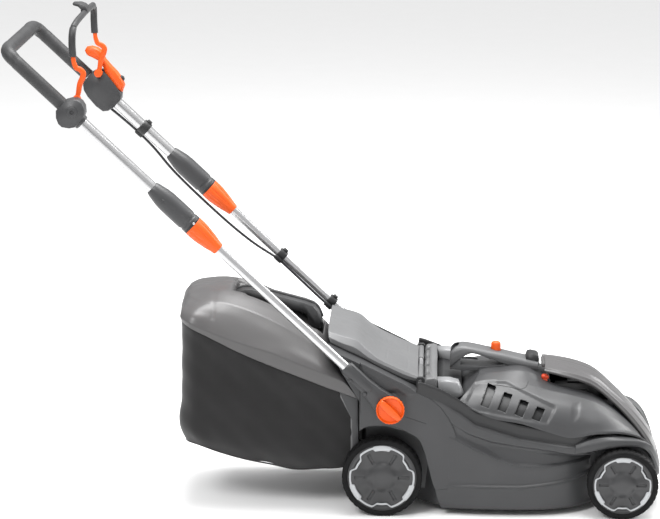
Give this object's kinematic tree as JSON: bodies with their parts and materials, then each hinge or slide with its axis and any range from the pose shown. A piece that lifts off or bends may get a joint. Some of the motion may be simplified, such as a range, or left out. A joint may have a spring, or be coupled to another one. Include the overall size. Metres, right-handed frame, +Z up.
{
  "type": "lawn mower",
  "caption": "Walk-behind battery lawn mower with folding telescopic tube handle, operator bail, rear flap, grass collector and height-adjustable wheels.",
  "frame": {"origin": "on the ground, below the middle of the bounding box", "axes": "+X forwards to the nose, +Y to the operator's left, +Z up"},
  "size_m": [1.3881, 0.418, 1.066],
  "materials": {
    "body_plastic": "moulded, fine grain",
    "hood_plastic": "moulded, satin",
    "light_plastic": "moulded, satin",
    "lid_plastic": "moulded, semi-gloss",
    "dark_plastic": "moulded, fine grain",
    "orange_plastic": "moulded, satin",
    "red_plastic": "moulded, satin",
    "pale_plastic": "clear, glossy",
    "grip_rubber": "soft touch, fine grain",
    "aluminium_tube": "drawn and brushed",
    "steel": "zinc plated",
    "motor_metal": "die cast",
    "bush_plastic": "bearing plastic",
    "bag_fabric": "woven polyester",
    "cable_rubber": "smooth jacket",
    "wheel_plastic": "moulded",
    "hubcap_plastic": "moulded, satin",
    "tyre_rubber": "moulded rubber"
  },
  "bodies": {
    "deck": {"deck_shell": "body_plastic", "hood_shell": "hood_plastic", "carry_handle": "hood_plastic", "discharge_duct": "body_plastic", "battery_tray": "dark_plastic", "motor_can": "motor_metal", "motor_bearings": "steel", "motor_controller": "dark_plastic", "flap_pin": "steel", "flap_spring": "steel", "axle_bushes": "bush_plastic", "pivot_bolts": "steel"},
    "rear_axle": {"rear_axle": "steel"},
    "front_axle": {"front_axle": "steel"},
    "link_rod": {"link_rod": "steel"},
    "blade_rotor": {"motor_shaft": "steel", "motor_rotor": "motor_metal", "cooling_fan": "dark_plastic", "blade_carrier": "motor_metal", "blade": "steel", "blade_bolt": "steel"},
    "battery_lid": {"battery_lid": "lid_plastic"},
    "battery": {"battery": "dark_plastic"},
    "safety_key": {"safety_key": "red_plastic"},
    "height_button": {"height_button": "orange_plastic"},
    "rear_flap": {"rear_flap": "light_plastic"},
    "collector": {"collector_lid": "light_plastic", "collector_bag": "bag_fabric", "collector_frame": "light_plastic", "collector_grip": "dark_plastic"},
    "lower_handle": {"lower_tubes": "aluminium_tube", "handle_feet": "body_plastic", "lower_cable_clips": "dark_plastic", "control_cable": "cable_rubber"},
    "fold_knob_right": {"fold_knob_right": "orange_plastic"},
    "fold_knob_left": {"fold_knob_left": "orange_plastic"},
    "upper_handle": {"upper_tubes": "aluminium_tube", "tube_sleeves": "hood_plastic", "grip_loop": "grip_rubber", "bail_bracket": "body_plastic", "switch_box": "body_plastic", "switch_cap": "orange_plastic", "upper_cable_clip": "dark_plastic"},
    "twist_collar_right": {"twist_collar_right": "orange_plastic"},
    "twist_collar_left": {"twist_collar_left": "orange_plastic"},
    "bail": {"bail_legs": "orange_plastic", "bail_grip": "grip_rubber"},
    "start_button": {"start_button": "pale_plastic"},
    "wheel_rear_right": {"wheel_rear_right": "wheel_plastic", "tyre_rear_right": "tyre_rubber", "hubcap_rear_right": "hubcap_plastic"},
    "wheel_rear_left": {"wheel_rear_left": "wheel_plastic", "tyre_rear_left": "tyre_rubber", "hubcap_rear_left": "hubcap_plastic"},
    "wheel_front_right": {"wheel_front_right": "wheel_plastic", "tyre_front_right": "tyre_rubber", "hubcap_front_right": "hubcap_plastic"},
    "wheel_front_left": {"wheel_front_left": "wheel_plastic", "tyre_front_left": "tyre_rubber", "hubcap_front_left": "hubcap_plastic"}
  },
  "joints": [
    {"name": "handle_fold", "type": "hinge", "parent": "deck", "child": "lower_handle", "pos_m": [0.115, 0, 0.238], "axis": [0, 1, 0], "range_deg": [0, 130]},
    {"name": "handle_slide", "type": "slide", "parent": "lower_handle", "child": "upper_handle", "axis": [0.7254, 0, -0.6884], "range_m": [0, 0.115], "deforming": ["control_cable"]},
    {"name": "fold_knob_right_turn", "type": "hinge", "parent": "deck", "child": "fold_knob_right", "pos_m": [0.115, -0.2, 0.238], "axis": [0, -1, 0], "range_deg": [0, 300]},
    {"name": "twist_collar_right_turn", "type": "hinge", "parent": "upper_handle", "child": "twist_collar_right", "pos_m": [-0.26945, -0.187, 0.60283], "axis": [-0.7254, 0, 0.6884], "range_deg": [0, 90]},
    {"name": "fold_knob_left_turn", "type": "hinge", "parent": "deck", "child": "fold_knob_left", "pos_m": [0.115, 0.2, 0.238], "axis": [0, 1, 0], "range_deg": [0, 300]},
    {"name": "twist_collar_left_turn", "type": "hinge", "parent": "upper_handle", "child": "twist_collar_left", "pos_m": [-0.26945, 0.187, 0.60283], "axis": [-0.7254, 0, 0.6884], "range_deg": [0, 90]},
    {"name": "bail_pull", "type": "hinge", "parent": "upper_handle", "child": "bail", "pos_m": [-0.53437, 0, 0.88732], "axis": [0, -1, 0], "range_deg": [0, 41], "stiffness_Nm_per_rad": 2, "springref_deg": -14.32},
    {"name": "start_button_press", "type": "slide", "parent": "upper_handle", "child": "start_button", "axis": [-0.6884, 0, -0.7254], "range_m": [0, 0.004], "stiffness_N_per_m": 400, "springref_m": -0.002},
    {"name": "height_button_press", "type": "slide", "parent": "deck", "child": "height_button", "axis": [0, 0, -1], "range_m": [0, 0.004], "stiffness_N_per_m": 400, "springref_m": -0.002},
    {"name": "rear_flap_lift", "type": "hinge", "parent": "deck", "child": "rear_flap", "pos_m": [0.177, 0, 0.284], "axis": [0, 1, 0], "range_deg": [0, 60], "stiffness_Nm_per_rad": 0.6, "springref_deg": -34.38},
    {"name": "collector_pull_off", "type": "slide", "parent": "deck", "child": "collector", "axis": [-1, 0, 0], "range_m": [0, 0.45]},
    {"name": "height_adjust", "type": "hinge", "parent": "deck", "child": "rear_axle", "pos_m": [0.11921, 0, 0.06379], "axis": [0, -1, 0], "range_deg": [0, 90]},
    {"name": "front_axle_crank", "type": "hinge", "parent": "deck", "child": "front_axle", "pos_m": [0.62721, 0, 0.05379], "axis": [0, -1, 0], "range_deg": [0, 90]},
    {"name": "link_rod_pivot", "type": "hinge", "parent": "rear_axle", "child": "link_rod", "pos_m": [0.15881, 0, 0.10339], "axis": [0, -1, 0], "range_deg": [-90, 0]},
    {"name": "wheel_rear_right_spin", "type": "hinge", "parent": "rear_axle", "child": "wheel_rear_right", "pos_m": [0.098, -0.17, 0.085], "axis": [0, 1, 0], "continuous": true},
    {"name": "wheel_rear_left_spin", "type": "hinge", "parent": "rear_axle", "child": "wheel_rear_left", "pos_m": [0.098, 0.17, 0.085], "axis": [0, 1, 0], "continuous": true},
    {"name": "wheel_front_right_spin", "type": "hinge", "parent": "front_axle", "child": "wheel_front_right", "pos_m": [0.606, -0.17, 0.075], "axis": [0, 1, 0], "continuous": true},
    {"name": "wheel_front_left_spin", "type": "hinge", "parent": "front_axle", "child": "wheel_front_left", "pos_m": [0.606, 0.17, 0.075], "axis": [0, 1, 0], "continuous": true},
    {"name": "blade_spin", "type": "hinge", "parent": "deck", "child": "blade_rotor", "pos_m": [0.365, 0, 0.03], "axis": [0, 0, 1], "continuous": true},
    {"name": "battery_lid_open", "type": "hinge", "parent": "deck", "child": "battery_lid", "pos_m": [0.441, 0, 0.291], "axis": [0, -1, 0], "range_deg": [0, 80]},
    {"name": "battery_lift", "type": "slide", "parent": "deck", "child": "battery", "axis": [0, 0, 1], "range_m": [0, 0.022]},
    {"name": "safety_key_lift", "type": "slide", "parent": "deck", "child": "safety_key", "axis": [0, 0, 1], "range_m": [0, 0.008]}
  ],
  "couplings": [
    {"joint": "front_axle_crank", "follows": "height_adjust", "ratio": 1},
    {"joint": "link_rod_pivot", "follows": "height_adjust", "ratio": -1}
  ]
}
